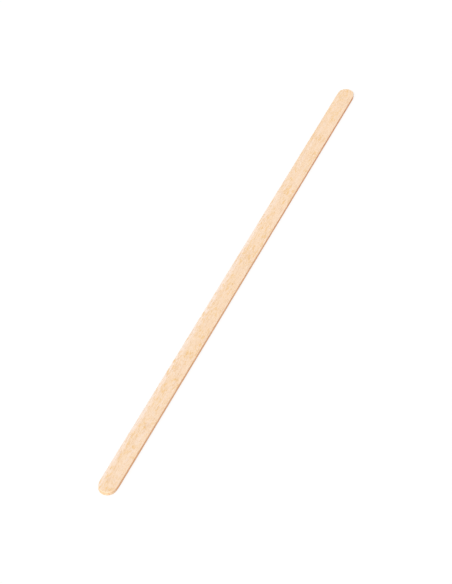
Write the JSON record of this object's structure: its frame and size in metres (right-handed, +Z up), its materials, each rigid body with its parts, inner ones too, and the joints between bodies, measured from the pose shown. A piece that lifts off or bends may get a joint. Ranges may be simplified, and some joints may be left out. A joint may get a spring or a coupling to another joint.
{
  "type": "wooden spatula",
  "caption": "Slim flat wooden spatula stick with rounded ends and softly rounded edges, for stirring, spreading and craft work.",
  "frame": {"origin": "middle of the underside, at the centre of the stick's length and width", "axes": "+X along the stick, +Y across it, +Z up out of the broad face"},
  "size_m": [0.178, 0.005, 0.0013],
  "materials": {
    "birch": "bare, dry, pale rotary-cut veneer, smooth from tumbling"
  },
  "bodies": {
    "root": {"stick": "birch"}
  },
  "joints": []
}
